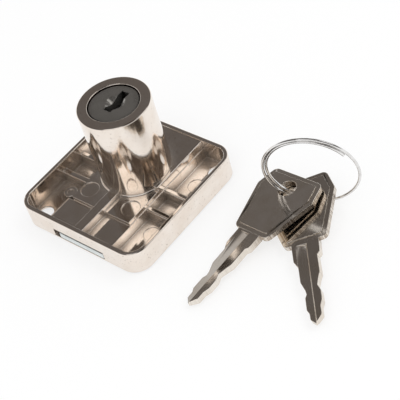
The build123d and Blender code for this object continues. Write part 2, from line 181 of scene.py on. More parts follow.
world = bpy.data.worlds.new("studio")
world.use_nodes = True
tree = world.node_tree
tree.nodes.clear()
direction = add_node(tree, "ShaderNodeTexCoord").outputs["Generated"]
patches = add_node(tree, "ShaderNodeTexNoise", {
    "Vector": direction, "Scale": ROOM_PATCH, "Detail": 1.5}).outputs[0]
patches = add_node(tree, "ShaderNodeMapRange", {
    "Value": patches, "From Min": PATCH_EDGE, "From Max": PATCH_FULL}).outputs[0]
walls = add_node(tree, "ShaderNodeMix", {
    0: patches, FIRST_COLOUR: from_srgb(ROOM_DARK), SECOND_COLOUR: from_srgb(ROOM_LIGHT)},
    data_type="RGBA").outputs[MIXED_COLOUR]
print("walls between", ROOM_DARK, "and", ROOM_LIGHT)

# %% Darken the room in front
FRONT_AZIMUTH = -13.0
FRONT_EDGE, FRONT_FULL = 0.35, 0.6
FRONT_DARK = "3B3734"

front_way = (math.cos(math.radians(FRONT_AZIMUTH)), math.sin(math.radians(FRONT_AZIMUTH)), 0)
frontward = add_node(tree, "ShaderNodeVectorMath", {0: direction, 1: front_way},
                     operation="DOT_PRODUCT").outputs["Value"]
frontward = add_node(tree, "ShaderNodeMapRange", {
    "Value": frontward, "From Min": FRONT_EDGE, "From Max": FRONT_FULL}).outputs[0]
walls = add_node(tree, "ShaderNodeMix", {
    0: frontward, FIRST_COLOUR: walls, SECOND_COLOUR: from_srgb(FRONT_DARK)},
    data_type="RGBA").outputs[MIXED_COLOUR]
print("darkest within", round(math.degrees(math.acos(FRONT_FULL))), "degrees of the front")

# %% Darken it overhead, and whiten it low down
OVERHEAD_FROM = 56.0
OVERHEAD_TO = 72.0
OVERHEAD = "2A2623"
HORIZON_TOP = 14.0
DARK_FROM = 27.0


def height_at(degrees):
    """How high a direction of length 1 reaches when it rises by so many degrees."""
    return math.sin(math.radians(degrees))


height = add_node(tree, "ShaderNodeSeparateXYZ", {0: direction}).outputs["Z"]
overhead = add_node(tree, "ShaderNodeMapRange", {
    "Value": height, "From Min": height_at(OVERHEAD_FROM),
    "From Max": height_at(OVERHEAD_TO)}).outputs[0]
walls = add_node(tree, "ShaderNodeMix", {
    0: overhead, FIRST_COLOUR: walls, SECOND_COLOUR: from_srgb(OVERHEAD)},
    data_type="RGBA").outputs[MIXED_COLOUR]
upward = add_node(tree, "ShaderNodeMapRange", {
    "Value": height, "From Min": height_at(HORIZON_TOP), "From Max": height_at(DARK_FROM)},
    interpolation_type="SMOOTHSTEP").outputs[0]
room = add_node(tree, "ShaderNodeMix", {
    0: upward, FIRST_COLOUR: WHITE, SECOND_COLOUR: walls},
    data_type="RGBA").outputs[MIXED_COLOUR]
print("white up to", HORIZON_TOP, "degrees, dark from", DARK_FROM)

# %% [markdown]
# Who sees the room
#
# Only shiny surfaces see those walls. The camera sees plain white behind the object, as in the
# photograph, and matt surfaces are lit by an even light from all sides.

# %% Show each kind of ray its own surroundings
WORLD_AMBIENT = 0.75

even_light = (WORLD_AMBIENT, WORLD_AMBIENT, WORLD_AMBIENT, 1)
ray = add_node(tree, "ShaderNodeLightPath")
lit_by = add_node(tree, "ShaderNodeMix", {
    0: ray.outputs["Is Glossy Ray"], FIRST_COLOUR: even_light, SECOND_COLOUR: room},
    data_type="RGBA").outputs[MIXED_COLOUR]
seen = add_node(tree, "ShaderNodeMath", {
    0: ray.outputs["Is Camera Ray"], 1: ray.outputs["Is Transmission Ray"]},
    operation="MAXIMUM").outputs[0]
shown = add_node(tree, "ShaderNodeMix", {
    0: seen, FIRST_COLOUR: lit_by, SECOND_COLOUR: WHITE},
    data_type="RGBA").outputs[MIXED_COLOUR]
background = add_node(tree, "ShaderNodeBackground", {"Color": shown, "Strength": 1.0})
add_node(tree, "ShaderNodeOutputWorld", {"Surface": background.outputs[0]})
bpy.context.scene.world = world
print("nodes in the world:", len(tree.nodes))

# %% [markdown]
# Soft boxes
#
# The few bright strips on the ribs and on the keys' edges come from two soft boxes beside the
# camera, and from something pale on the far side of the room. Area lamps are seen by shiny
# surfaces as plain bright rectangles, which is how a soft box looks in polished metal.

# %% Hang the soft boxes


def soft_box(name, azimuth, elevation, distance, size, brightness):
    """An area lamp that faces the object. Its brightness is what a mirror would show, where 1 is white."""
    turn, rise = math.radians(azimuth), math.radians(elevation)
    place = Vector((math.cos(turn) * math.cos(rise), math.sin(turn) * math.cos(rise), math.sin(rise)))
    data = bpy.data.lights.new(name, "AREA")
    data.shape = "RECTANGLE"
    data.size, data.size_y = size
    data.energy = brightness * math.pi * size[0] * size[1]
    lamp = bpy.data.objects.new(name, data)
    lamp.location = place * distance
    lamp.rotation_euler = place.to_track_quat("Z", "Y").to_euler()
    bpy.context.scene.collection.objects.link(lamp)
    print(name, "gives", round(data.energy, 3), "watts")


soft_box("soft_box_right", azimuth=49, elevation=50, distance=0.7, size=(0.42, 0.36), brightness=1.15)
soft_box("soft_box_left", azimuth=-66, elevation=52, distance=0.7, size=(0.5, 0.36), brightness=1.1)
soft_box("far_window", azimuth=156, elevation=61, distance=0.9, size=(0.2, 0.22), brightness=0.42)

# %% [markdown]
# Floor
#
# The table is a plain white sheet, so one large square does for it. It lies a hair below the
# lock's back, because two surfaces at one height would show through each other in patches.

# %% Lay the floor
FLOOR_SIZE = 3.0
FLOOR_GAP = 0.02

floor_z = cad_low.z - FLOOR_GAP * MM
half = FLOOR_SIZE / 2
corners = [(x, y, floor_z) for x, y in ((-half, -half), (half, -half), (half, half), (-half, half))]
floor_mesh = bpy.data.meshes.new("floor")
floor_mesh.from_pydata(corners, [], [(0, 1, 2, 3)])
floor = bpy.data.objects.new("floor", floor_mesh)
bpy.context.scene.collection.objects.link(floor)
print("floor at", round(floor_z / MM, 2), "mm")

# %% [markdown]
# White paper
#
# In the photograph the table is almost pure white, and still has the object's soft shadow. Rays
# from the camera and from shiny metal see the paper nearly at full white, with a share of its
# real shading mixed in, which holds the shadow. All other rays see ordinary matt paper.

# %% Give the floor its look
SHADING_SHARE = 0.35
PAPER_BRIGHTNESS = 1.04
PAPER = "F2F0EE"

paper = bpy.data.materials.new("white_paper")
paper.use_nodes = True
tree = paper.node_tree
tree.nodes.clear()
ray = add_node(tree, "ShaderNodeLightPath")
matt = add_node(tree, "ShaderNodeBsdfDiffuse", {"Color": from_srgb(PAPER)})
shaded = add_node(tree, "ShaderNodeBsdfDiffuse", {"Color": WHITE})
bright = add_node(tree, "ShaderNodeEmission", {"Color": WHITE, "Strength": PAPER_BRIGHTNESS})
seen_sheet = add_node(tree, "ShaderNodeMixShader", {
    0: SHADING_SHARE, 1: bright.outputs[0], 2: shaded.outputs[0]})
looked_at = add_node(tree, "ShaderNodeMath", {
    0: ray.outputs["Is Camera Ray"], 1: ray.outputs["Is Glossy Ray"]},
    operation="MAXIMUM").outputs[0]
looked_at = add_node(tree, "ShaderNodeMath", {
    0: looked_at, 1: ray.outputs["Is Transmission Ray"]},
    operation="MAXIMUM").outputs[0]
sheet = add_node(tree, "ShaderNodeMixShader", {
    0: looked_at, 1: matt.outputs[0], 2: seen_sheet.outputs[0]})
add_node(tree, "ShaderNodeOutputMaterial", {"Surface": sheet.outputs[0]})
floor.data.materials.append(paper)
print("share of shading kept:", SHADING_SHARE)

# %% [markdown]
# Metal finishes
#
# All the metals share one recipe, in layers. The colour drifts a little between two tones, as
# plating does where it is thicker or has stained, and the roughness drifts with it. A shallow
# ripple bends the reflections, as on a casting that was plated without much polishing. Some
# metals get more layers on top. Each layer is a small function that takes sockets and gives back
# new ones, so that a finish can be put together from the layers it needs. Sizes are real ones, in
# millimetres.

# %% The layers that every metal has
STAIN_EDGE, STAIN_FULL = 0.35, 0.7
SMOOTH_AT, DULL_AT = 0.3, 0.75
# The grain of a real casting is finer than a pixel, so it is drawn about twice as coarse.
GRAIN_MM = 0.25


def stained_plating(tree, place, light, dark, stain_mm, roughness):
    """Colour and roughness that drift from place to place, in stains of the given size."""
    stains = add_node(tree, "ShaderNodeTexNoise", {
        "Vector": place, "Scale": 1 / (stain_mm * MM), "Detail": 4.0, "Roughness": 0.6}).outputs[0]
    stained = add_node(tree, "ShaderNodeMapRange", {
        "Value": stains, "From Min": STAIN_EDGE, "From Max": STAIN_FULL}).outputs[0]
    colour = add_node(tree, "ShaderNodeMix", {
        0: stained, FIRST_COLOUR: from_srgb(light), SECOND_COLOUR: from_srgb(dark)},
        data_type="RGBA").outputs[MIXED_COLOUR]
    smooth, dull = roughness
    rough = add_node(tree, "ShaderNodeMapRange", {
        "Value": stains, "From Min": SMOOTH_AT, "From Max": DULL_AT,
        "To Min": smooth, "To Max": dull}).outputs[0]
    return colour, rough


def rippled_surface(tree, place, ripple_mm, ripple_depth_mm, grain_depth_mm):
    """A surface that waves a little, with a fine grain on the waves where it has a depth."""
    ripple = add_node(tree, "ShaderNodeTexNoise", {
        "Vector": place, "Scale": 1 / (ripple_mm * MM), "Detail": 3.0, "Roughness": 0.55}).outputs[0]
    bump = add_node(tree, "ShaderNodeBump", {
        "Height": ripple, "Strength": 1.0, "Distance": ripple_depth_mm * MM}).outputs[0]
    if grain_depth_mm:
        grain = add_node(tree, "ShaderNodeTexNoise", {
            "Vector": place, "Scale": 1 / (GRAIN_MM * MM), "Detail": 2.0}).outputs[0]
        bump = add_node(tree, "ShaderNodeBump", {
            "Height": grain, "Strength": 1.0, "Distance": grain_depth_mm * MM,
            "Normal": bump}).outputs[0]
    return bump


# %% [markdown]
# Pits
#
# Cast zinc has small pits, and where the plating has gone thin over one it stains. Noise that is
# cut off high up leaves just such scattered specks, and a larger share lowers the cut, so that
# there are more of them.

# %% A layer of stained pits
PIT_EDGE = 0.08


def with_pits(tree, place, colour, pit_colour, pit_mm, pit_share):
    """Colours small stained pits of the given size."""
    pits = add_node(tree, "ShaderNodeTexNoise", {
        "Vector": place, "Scale": 1 / (pit_mm * MM), "Detail": 2.0, "Roughness": 0.5}).outputs[0]
    pitted = add_node(tree, "ShaderNodeMapRange", {
        "Value": pits, "From Min": 1 - pit_share - PIT_EDGE, "From Max": 1 - pit_share}).outputs[0]
    return add_node(tree, "ShaderNodeMix", {
        0: pitted, FIRST_COLOUR: colour, SECOND_COLOUR: from_srgb(pit_colour)},
        data_type="RGBA").outputs[MIXED_COLOUR]


# %% [markdown]
# Hollows and narrow places
#
# Plating stays thin in the deep corners of a casting, and polishing doesn't reach them, so they
# are duller. Their colour is also darkened there, which is painted shade. A much narrower place,
# such as a slot, gets a darker painted shade still. Both could be painted on by hand. An Ambient
# Occlusion node finds them from the shape instead: it measures how much of its surroundings each
# point sees, out to a given distance. The layer for hollows looks at the piece alone, while the
# one for narrow places counts the neighbouring pieces too, because the gap between two pieces is
# a narrow place.

# %% A layer of wide hollows: duller, with painted shade
HOLLOW_MM = 6.0
HOLLOW_OPEN, HOLLOW_DEEP = 0.72, 0.28
HOLLOW_ROUGHNESS = 0.36
HOLLOW_METALLIC = 0.6


def with_dull_shaded_hollows(tree, colour, rough, metallic, hollow_shade_colour):
    """Dulls the deep corners of a casting: rougher, with some plain scattered light, and darker as painted
    shade.
    """
    opening = add_node(tree, "ShaderNodeAmbientOcclusion", {"Distance": HOLLOW_MM * MM},
                       samples=14, only_local=True).outputs["AO"]
    deep = add_node(tree, "ShaderNodeMapRange", {
        "Value": opening, "From Min": HOLLOW_OPEN, "From Max": HOLLOW_DEEP}).outputs[0]
    colour = add_node(tree, "ShaderNodeMix", {
        0: deep, FIRST_COLOUR: colour, SECOND_COLOUR: from_srgb(hollow_shade_colour)},
        data_type="RGBA").outputs[MIXED_COLOUR]
    rough = add_node(tree, "ShaderNodeMix", {
        0: deep, FIRST_NUMBER: rough, SECOND_NUMBER: HOLLOW_ROUGHNESS}).outputs[MIXED_NUMBER]
    metallic = add_node(tree, "ShaderNodeMix", {
        0: deep, FIRST_NUMBER: metallic, SECOND_NUMBER: HOLLOW_METALLIC}).outputs[MIXED_NUMBER]
    return colour, rough, metallic


# %% A layer of painted shade in narrow places
NARROW_FADE = 0.4


def with_narrow_shade(tree, colour, narrow_shade_colour, reach_mm, open_share):
    """Paints shade on places that see less than open_share of their surroundings, out to reach_mm."""
    opening = add_node(tree, "ShaderNodeAmbientOcclusion", {"Distance": reach_mm * MM},
                       samples=10).outputs["AO"]
    narrow = add_node(tree, "ShaderNodeMapRange", {
        "Value": opening, "From Min": open_share, "From Max": open_share - NARROW_FADE}).outputs[0]
    return add_node(tree, "ShaderNodeMix", {
        0: narrow, FIRST_COLOUR: colour, SECOND_COLOUR: from_srgb(narrow_shade_colour)},
        data_type="RGBA").outputs[MIXED_COLOUR]


# %% [markdown]
# Sheared edges
#
# A key is punched from sheet, and its edges keep the fine lines of the shear, which run straight
# through its thickness. Which way that is differs from key to key, so each key's mesh carries the
# way across its flat faces as an attribute, flat_way, and the strength of the lines as another,
# score_depth. Noise that leaves out the part of its coordinates along flat_way is the same all
# through the thickness, so it draws lines. Only faces that turn away from flat_way get them.

# %% Which faces are sheared
SIDE_EDGE, SIDE_FULL = 0.35, 0.15


def sheared_side(tree, flat_way):
    """Where the surface is a side wall of a flat piece, and how strong its lines are there."""
    normal = add_node(tree, "ShaderNodeTexCoord").outputs["Normal"]
    facing = add_node(tree, "ShaderNodeVectorMath", {0: normal, 1: flat_way},
                      operation="DOT_PRODUCT").outputs["Value"]
    facing = add_node(tree, "ShaderNodeMath", {0: facing}, operation="ABSOLUTE").outputs[0]
    side = add_node(tree, "ShaderNodeMapRange", {
        "Value": facing, "From Min": SIDE_EDGE, "From Max": SIDE_FULL}).outputs[0]
    depth = add_node(tree, "ShaderNodeAttribute", attribute_name="score_depth").outputs["Fac"]
    strength = add_node(tree, "ShaderNodeMath", {0: depth, 1: side}, operation="MULTIPLY").outputs[0]
    return side, strength


# %% A layer of lines on the sheared faces
LINE_EDGE, LINE_FULL = 0.4, 0.62
LINE_ROUGHNESS = 0.24
LINE_DEPTH_MM = 0.06


def with_scores(tree, place, colour, rough, bump, line_colour, line_mm):
    """Draws the fine lines of a shear on the side walls of a flat piece."""
    flat_way = add_node(tree, "ShaderNodeAttribute", attribute_name="flat_way").outputs["Vector"]
    side, strength = sheared_side(tree, flat_way)
    through = add_node(tree, "ShaderNodeVectorMath", {0: place, 1: flat_way},
                       operation="PROJECT").outputs["Vector"]
    level = add_node(tree, "ShaderNodeVectorMath", {0: place, 1: through},
                     operation="SUBTRACT").outputs["Vector"]
    lines = add_node(tree, "ShaderNodeTexNoise", {
        "Vector": level, "Scale": 1 / (line_mm * MM), "Detail": 2.0, "Roughness": 0.6}).outputs[0]
    share = add_node(tree, "ShaderNodeMapRange", {
        "Value": lines, "From Min": LINE_EDGE, "From Max": LINE_FULL}).outputs[0]
    share = add_node(tree, "ShaderNodeMath", {0: share, 1: strength}, operation="MULTIPLY").outputs[0]
    colour = add_node(tree, "ShaderNodeMix", {
        0: share, FIRST_COLOUR: colour, SECOND_COLOUR: from_srgb(line_colour)},
        data_type="RGBA").outputs[MIXED_COLOUR]
    rough = add_node(tree, "ShaderNodeMix", {
        0: side, FIRST_NUMBER: rough, SECOND_NUMBER: LINE_ROUGHNESS}).outputs[MIXED_NUMBER]
    height = add_node(tree, "ShaderNodeMath", {0: lines, 1: strength}, operation="MULTIPLY").outputs[0]
    bump = add_node(tree, "ShaderNodeBump", {
        "Height": height, "Strength": 1.0, "Distance": LINE_DEPTH_MM * MM, "Normal": bump}).outputs[0]
    return colour, rough, bump


# %% [markdown]
# The whole recipe
#
# The layers go on in the order in which they come to a real piece: first the plating with its
# stains and pits, then what the hollows do to it, and last the form of the surface. The painted
# shade of hollows and narrow places goes on with the hollows. Patterns read Object coordinates, so
# they stay on a piece when it moves.

# %% A recipe for plated metal


def plated_metal(name, light, dark, stain_mm, roughness, ripple_mm, ripple_depth_mm,
                 grain_depth_mm=0.0, metallic=1.0, pits=None, dull_hollow_shade=None, narrow_shade=None, scores=None):
    """A metal whose colour, roughness and surface drift with the plating, with painted shade in hollows and
    narrow places where asked.
    """
    material = bpy.data.materials.new(name)
    material.use_nodes = True
    tree = material.node_tree
    tree.nodes.clear()
    place = add_node(tree, "ShaderNodeTexCoord").outputs["Object"]
    colour, rough = stained_plating(tree, place, light, dark, stain_mm, roughness)
    if pits:
        colour = with_pits(tree, place, colour, **pits)
    if dull_hollow_shade:
        colour, rough, metallic = with_dull_shaded_hollows(tree, colour, rough, metallic, dull_hollow_shade)
    if narrow_shade:
        colour = with_narrow_shade(tree, colour, **narrow_shade)
    bump = rippled_surface(tree, place, ripple_mm, ripple_depth_mm, grain_depth_mm)
    if scores:
        colour, rough, bump = with_scores(tree, place, colour, rough, bump, **scores)
    surface = add_node(tree, "ShaderNodeBsdfPrincipled", {
        "Base Color": colour, "Metallic": metallic, "Roughness": rough, "Normal": bump})
    add_node(tree, "ShaderNodeOutputMaterial", {"Surface": surface.outputs[0]})
    print(name, "nodes", len(tree.nodes))
    return material


# %% [markdown]
# The case and the bolt
#
# The case is zinc, cast in a steel die and plated with nickel: a warm mirror that is a little
# uneven. Its bolt is a punched steel plate with blue zinc plating, which is a paler, cooler and
# duller metal. Only the bolt's end shows, so how it differs from the nickel round it has to be
# plain at a glance.

# %% Mix the finishes of the case and the bolt
finishes = {}

# A warm mirror with waves and pits, dull and with painted shade in the corners of the tray, and with
# painted shade along the joints.
finishes["nickel_casting"] = plated_metal(
    "bright_nickel_on_cast_zinc", light="F1E8DF", dark="EADED2", stain_mm=5.0, roughness=(0.05, 0.12),
    ripple_mm=2.2, ripple_depth_mm=0.006, grain_depth_mm=0.003,
    pits=dict(pit_colour="C0B1A3", pit_mm=0.45, pit_share=0.26), dull_hollow_shade="AA9E92",
    narrow_shade=dict(narrow_shade_colour="4A4038", reach_mm=0.4, open_share=0.72))

# A pale, cool satin that stays light where the nickel turns dark, with a black painted shade in the gap
# over it.
finishes["zinc_plate"] = plated_metal(
    "blue_zinc_plated_steel", light="E9EDEC", dark="DBE1E1", stain_mm=4.0, roughness=(0.26, 0.36),
    ripple_mm=3.0, ripple_depth_mm=0.001,
    narrow_shade=dict(narrow_shade_colour="161514", reach_mm=1.2, open_share=0.9))

# %% [markdown]
# The plug and what it holds
#
# The plug has black nickel plating, a dark satin metal. Its wafers are punched from bare brass,
# and their springs are drawn steel wire. Wafers and springs lie inside the barrel, where nothing
# shows them, but a model that is taken apart needs them too.

# %% Mix the finishes of the plug, the wafers and the springs

# Dark satin, with painted shade that makes it nearly black in and round the keyway, where it faces its own
# edges.
finishes["black_nickel"] = plated_metal(
    "black_nickel_plug", light="A6A39E", dark="98958F", stain_mm=3.0, roughness=(0.2, 0.28),
    ripple_mm=1.5, ripple_depth_mm=0.001, metallic=0.85,
    narrow_shade=dict(narrow_shade_colour="1E1C1B", reach_mm=1.8, open_share=1.0))

# Yellow with a soft sheen, as brass is when it leaves the press.
finishes["brass"] = plated_metal(
    "stamped_brass", light="D8B665", dark="C49A4A", stain_mm=2.5, roughness=(0.22, 0.36),
    ripple_mm=0.8, ripple_depth_mm=0.002)

# Plain grey with a soft shine, as wire is when it leaves the die.
finishes["spring_steel"] = plated_metal(
    "drawn_spring_wire", light="C9C9CB", dark="A9A9AC", stain_mm=1.0, roughness=(0.2, 0.3),
    ripple_mm=0.4, ripple_depth_mm=0.001)

# %% [markdown]
# The keys and their ring
#
# The keys are punched from brass and plated with nickel so thinly that the brass stains through
# along the sheared edges. The ring is nickel-plated steel wire, a neutral and brighter mirror.

# %% Mix the finishes of the keys and the ring

# Flat, warm mirrors with brown lines on their edges, and painted shade in their narrow places. The
# lines of the real keys are finer than a pixel, so they are drawn about twice as wide.
finishes["nickel_brass"] = plated_metal(
    "nickel_plated_key_brass", light="EFE8DF", dark="E2D8CB", stain_mm=6.0, roughness=(0.08, 0.16),
    ripple_mm=3.0, ripple_depth_mm=0.004,
    narrow_shade=dict(narrow_shade_colour="2E2721", reach_mm=0.5, open_share=0.6),
    scores=dict(line_colour="847260", line_mm=0.17))

# A neutral bright mirror, with painted shade only in the groove between two turns.
finishes["steel_wire"] = plated_metal(
    "nickel_plated_steel_wire", light="ECEBEA", dark="D6D4D2", stain_mm=2.0, roughness=(0.1, 0.2),
    ripple_mm=0.8, ripple_depth_mm=0.002,
    narrow_shade=dict(narrow_shade_colour="404040", reach_mm=0.3, open_share=0.55))

# %% Give each solid its finish
slot_of = {part["node"]: part["material_slot"] for part in frame["record"]["subparts"]}
for name, node in frame["nodes"].items():
    node.data.materials.clear()
    node.data.materials.append(finishes[slot_of[name]])
print("finishes:", ", ".join(sorted(finishes)))

# %% [markdown]
# Softened edges
#
# No edge of a casting or a stamping is truly sharp, and the thin bright lines in the photograph
# are those small rounds catching the light. The inner corners of a casting are rounded too, and
# show as thin dark lines. The solids have sharp edges, so the main pieces are copied from them
# and a Bevel modifier rounds every edge. One width for all the edges would tear the low steps, so
# each edge gets a width of its own: the full round where there is room, and less elsewhere.
#
# Where a round of width w ends at a plain edge, it takes w / sin(angle) of that edge's length,
# with the angle between the two. Where that edge is rounded as well, the two rounds meet at
# w (1 + cos(angle)) / sin(angle). Neither may take more than about a third of the edge.

# %% How much room the edges that meet it leave an edge
ROOM_SHARE = 0.34
LEAST_SINE = 0.05
LEAST_REACH = 0.02


def limited_width(edge, widths):
    """The edge's wanted width, or less where the edges that meet it leave less room."""
    width = widths[edge]
    for vertex in edge.verts:
        along = (edge.other_vert(vertex).co - vertex.co).normalized()
        for other in vertex.link_edges:
            if other is edge or not set(other.link_faces) & set(edge.link_faces):
                continue
            away = (other.other_vert(vertex).co - vertex.co).normalized()
            opening = along.angle(away, math.pi)
            reach = max(1 + math.cos(opening), LEAST_REACH) if other in widths else 1
            room = ROOM_SHARE * other.calc_length() * max(math.sin(opening), LEAST_SINE) / reach
            width = min(width, room)
    return width


# %% [markdown]
# Edges side by side
#
# Two edges can also lie side by side on one face, as the two rims of a low step do. Each may take
# about a third of the gap between them. A face with three or four sides needs no such look,
# because there the edges between the two are as long as the gap, and were measured above. Edges
# that lie more in line than side by side are passed over.

# %% How much room the edges across a face leave an edge
FEWEST_SIDES = 5
MOST_SKEW = 0.7


def limit_across(work, widths):
    """Narrows the rounds of edges that lie side by side on one face, so that they don't meet."""
    for face in work.faces:
        if len(face.edges) < FEWEST_SIDES:
            continue
        for edge in face.edges:
            start, end = edge.verts[0].co, edge.verts[1].co
            middle, along = (start + end) / 2, (end - start).normalized()
            for other in face.edges:
                if set(other.verts) & set(edge.verts) or not (edge in widths or other in widths):
                    continue
                first, second = other.verts[0].co, other.verts[1].co
                share = intersect_point_line(middle, first, second)[1]
                gap = first.lerp(second, min(max(share, 0), 1)) - middle
                if abs(gap.dot(along)) > MOST_SKEW * gap.length:
                    continue
                for limited in {edge, other} & widths.keys():
                    widths[limited] = min(widths[limited], ROOM_SHARE * gap.length)


# %% [markdown]
# Widths that taper
#
# A narrow round that ran straight into a wide one would leave a notch. So a round may grow only a
# little from one edge to the next. That is worked out several times over, so that it also holds
# along a row of many short edges, such as a curve.

# %% The widths of all the rounds of a piece
SHARP_ANGLE = math.radians(32)
SAME_MM = 0.005
TAPER = 0.3
TAPER_PASSES = 20


def round_widths(work, round_mm, hollow_mm, rim_mm=None):
    """Widths for all the sharp edges: round_mm outside, hollow_mm in the inner corners, or what fits."""
    widths = {}
    for edge in work.edges:
        if len(edge.link_faces) == 2 and edge.calc_face_angle(0) > SHARP_ANGLE:
            widths[edge] = (round_mm if edge.is_convex else hollow_mm) * MM
            if rim_mm and all(abs(vertex.co.z) < SAME_MM * MM for vertex in edge.verts):
                widths[edge] = rim_mm * MM
    widths = {edge: limited_width(edge, widths) for edge in widths}
    limit_across(work, widths)
    for _ in range(TAPER_PASSES):
        for edge in widths:
            for vertex in edge.verts:
                for other in vertex.link_edges:
                    if other is not edge and other in widths:
                        reach = TAPER * min(edge.calc_length(), other.calc_length())
                        widths[edge] = min(widths[edge], widths[other] + reach)
    return widths


# %% [markdown]
# The rounded copy
#
# A solid arrives as loose triangles. Its copy has their corners merged and the edges inside its
# flat faces dissolved, so that only real edges are left. Each one's width is stored as a weight,
# a share of the widest. The Bevel modifier reads the weights and marks the faces that it makes,
# and Weighted Normal then keeps the large faces looking flat beside the rounds.

# %% A clean copy with the widths as weights
MERGE_MM = 0.002
FLAT_ANGLE = math.radians(0.6)


def weighted_copy(solid, round_mm, hollow_mm, shape, rim_mm):
    """A clean copy of a solid's mesh with bevel weights on its edges, and the widest round."""
    mesh = solid.data.copy()
    work = bmesh.new()
    work.from_mesh(mesh)
    weight = work.edges.layers.float.new("bevel_weight_edge")
    bmesh.ops.remove_doubles(work, verts=work.verts, dist=MERGE_MM * MM)
    bmesh.ops.dissolve_limit(work, angle_limit=FLAT_ANGLE, verts=work.verts, edges=work.edges)
    if shape:
        shape(work)
    widths = round_widths(work, round_mm, hollow_mm, rim_mm)
    widest = max(widths.values())
    for edge, width in widths.items():
        edge[weight] = width / widest
    work.to_mesh(mesh)
    work.free()
    mesh.shade_smooth()
    return mesh, widest


# %% The piece that takes the solid's place
ROUND_STEPS = 3


def plain_mesh(piece):
    """Turns the piece's modifiers into its plain mesh."""
    mesh = bpy.data.meshes.new_from_object(piece.evaluated_get(bpy.context.evaluated_depsgraph_get()))
    piece.modifiers.clear()
    piece.data = mesh
    mesh.name = piece.name


def softened(node, round_mm, hollow_mm, shape=None, rim_mm=None):
    """A copy of a CAD node with rounded edges, which replaces it. Its mesh may be reshaped first."""
    mesh, widest = weighted_copy(frame["nodes"][node], round_mm, hollow_mm, shape, rim_mm)
    piece = bpy.data.objects.new(node + "_soft", mesh)
    bpy.context.scene.collection.objects.link(piece)
    rounded = piece.modifiers.new("rounded", "BEVEL")
    rounded.limit_method = "WEIGHT"
    rounded.width = widest
    rounded.segments = ROUND_STEPS
    rounded.use_clamp_overlap = False
    rounded.loop_slide = False
    rounded.face_strength_mode = "FSTR_ALL"
    flat_faces = piece.modifiers.new("flat_faces", "WEIGHTED_NORMAL")
    flat_faces.use_face_influence = True
    plain_mesh(piece)
    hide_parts(node)
    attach(piece, frame["nodes"][node]["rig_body"])
    print(piece.name, "faces", len(piece.data.polygons), "widest round mm", round(widest / MM, 3))
    return piece


# %% [markdown]
# Tray and barrel
#
# The tray's rim is rounder than the rest of the casting. The solid has a chamfer there that is too
# narrow for that round, so the chamfer is closed first: its lower corners are raised to the rim,
# and the upper ones are welded to them.

# %% Round the housing
RIM_CHAMFER = 0.1
CHAMFER_REACH = 0.12


def square_rim(work):
    """Closes the narrow chamfers along the tray's rim, so that its edges can take a full round."""
    joined = {}
    for edge in work.edges:
        low, high = sorted(edge.verts, key=lambda vertex: vertex.co.z)
        on_rim = abs(high.co.z) < SAME_MM * MM and abs(low.co.z + RIM_CHAMFER * MM) < SAME_MM * MM
        if on_rim and (high.co.xy - low.co.xy).length < CHAMFER_REACH * MM:
            joined[high] = low
    for low in joined.values():
        low.co.z = 0
    bmesh.ops.weld_verts(work, targetmap=joined)


softened("housing", round_mm=0.22, hollow_mm=0.2, shape=square_rim, rim_mm=0.35)

# %% [markdown]
# Bolt and plug
#
# The bolt has a little play in its slot, and the gap over it shows as a thin dark line. Its upper
# face is lowered for that. The plug's slots hold the wafers closely, so its inner corners stay
# nearly sharp: a wider round there would reach into the wafers when they slide.

# %% Round the bolt and the plug
BOLT_GAP = 0.2
UPPER_EDGES = 0.6


def thinner_plate(work):
    """Lowers the bolt's upper face and the edges round it, to show the dark gap over it."""
    top = max(vertex.co.z for vertex in work.verts)
    for vertex in work.verts:
        if vertex.co.z > top - UPPER_EDGES * MM:
            vertex.co.z -= BOLT_GAP * MM


softened("bolt", round_mm=0.06, hollow_mm=0.06, shape=thinner_plate)
softened("plug", round_mm=0.15, hollow_mm=0.03)

# %% [markdown]
# Keys
#
# A line runs round each key's head, where the border is pressed a little lower than the middle.
# That step is made twice as deep as in the solid, so that its round catches enough light to show.

# %% Round the keys
KEY_THICKNESS = 2.0
BORDER_STEP = 0.12
BORDER_DROP = 0.12
SAME_LEVEL = 0.01


def deeper_border(work):
    """Lowers the border round a key's head, on both its sides."""
    widest = max(work.faces, key=lambda face: face.calc_area())
    out, top = widest.normal.copy(), widest.calc_center_median().dot(widest.normal)
    for vertex in work.verts:
        depth = (top - vertex.co.dot(out)) / MM
        if abs(depth - BORDER_STEP) < SAME_LEVEL:
            vertex.co -= out * BORDER_DROP * MM
        elif abs(depth - KEY_THICKNESS + BORDER_STEP) < SAME_LEVEL:
            vertex.co += out * BORDER_DROP * MM


keys = {name: softened(name, round_mm=0.15, hollow_mm=0.1, shape=deeper_border)
        for name in ("key_1", "key_2")}

# %% [markdown]
# The keys' sheared edges
#
# The finish reads two attributes of each key's mesh. The way across the key is that of its
# largest face. The lines of the shear are strong round the head, and faint along the blade, whose
# edges were milled after the punch. How far a point is from the key's hole tells the two apart,
# and the hole is where the key's joint is.

# %% Store how each key was sheared
BLADE_FROM = 16.5
BLADE_FADE = 4.0
BLADE_SCORE = 0.15

hole_of = {joint["child"]: Vector(joint["pos_m"]) for joint in frame["record"]["behaviour"]["joints"]
           if joint["child"].startswith("key")}
for name, key in keys.items():
    widest = max(key.data.polygons, key=lambda face: face.area)
    flat_way = key.data.attributes.new("flat_way", "FLOAT_VECTOR", "POINT")
    flat_way.data.foreach_set("vector", list(widest.normal) * len(key.data.vertices))
    score_depth = key.data.attributes.new("score_depth", "FLOAT", "POINT")
    for vertex, depth in zip(key.data.vertices, score_depth.data):
        past_head = (vertex.co - hole_of[name]).length / MM - BLADE_FROM
        depth.value = min(max(0.5 - past_head / BLADE_FADE, BLADE_SCORE), 1)
    print(name, "lies flat across", [round(c, 3) for c in widest.normal])

# %% [markdown]
# Growing wire
#
# The ring and the springs are wire that follows a rule, so Geometry Nodes grow them: a curve, a
# round profile swept along it, and the material. Each size is a named input of the tree, and a
# modifier keeps it under the identifier of that input, which isn't its name. The trees end by
# making their instances real, and the result is turned into a plain mesh, because the export
# drops instances.

# %% Functions for trees that grow a piece
WIRE_SIDES = 16


